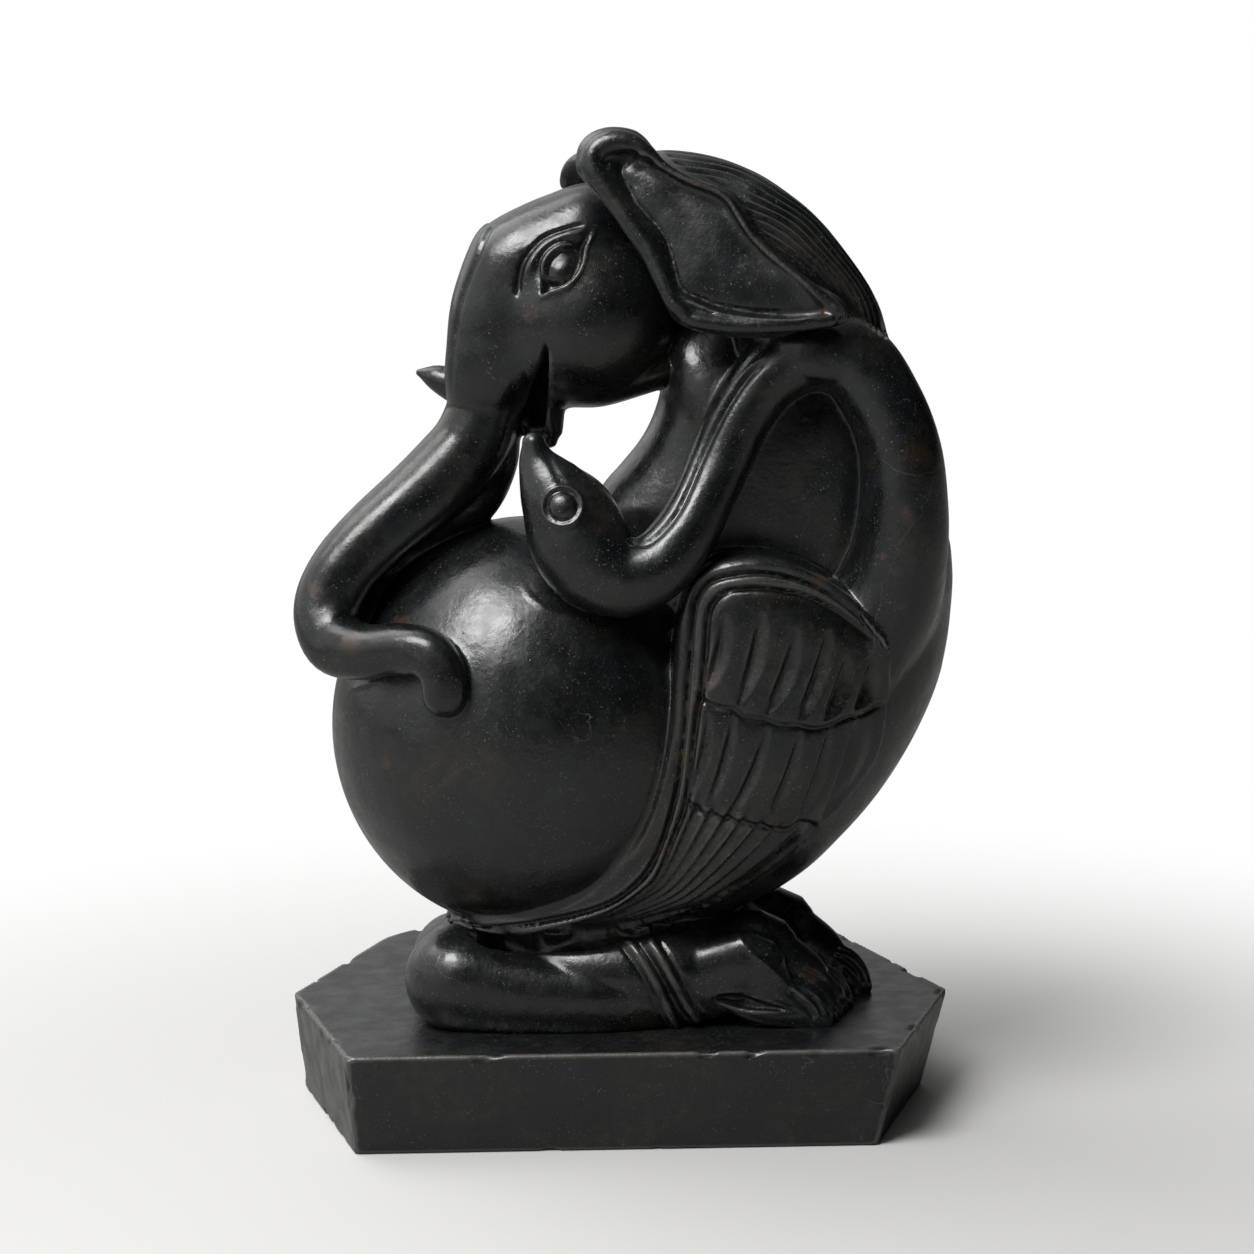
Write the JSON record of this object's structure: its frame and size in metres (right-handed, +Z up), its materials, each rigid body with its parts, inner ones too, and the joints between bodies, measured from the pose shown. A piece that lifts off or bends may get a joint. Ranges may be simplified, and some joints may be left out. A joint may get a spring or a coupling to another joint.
{
  "type": "stone ganesha statue",
  "caption": "Seated elephant-headed deity embracing a swan, carved with its own hexagonal plinth from a single block of dark polished stone; stands on its flat underside",
  "frame": {"origin": "middle of the plinth's flat underside", "axes": "+X to the right as seen from the front, -Y towards the viewer, +Z up"},
  "size_m": [0.2023, 0.1388, 0.3008],
  "materials": {
    "granite": "hand-polished near-black granite with greenish and brownish clouds, pale flecks and worn, paler edges"
  },
  "bodies": {
    "root": {"ganesha_statue": "granite"}
  },
  "joints": []
}
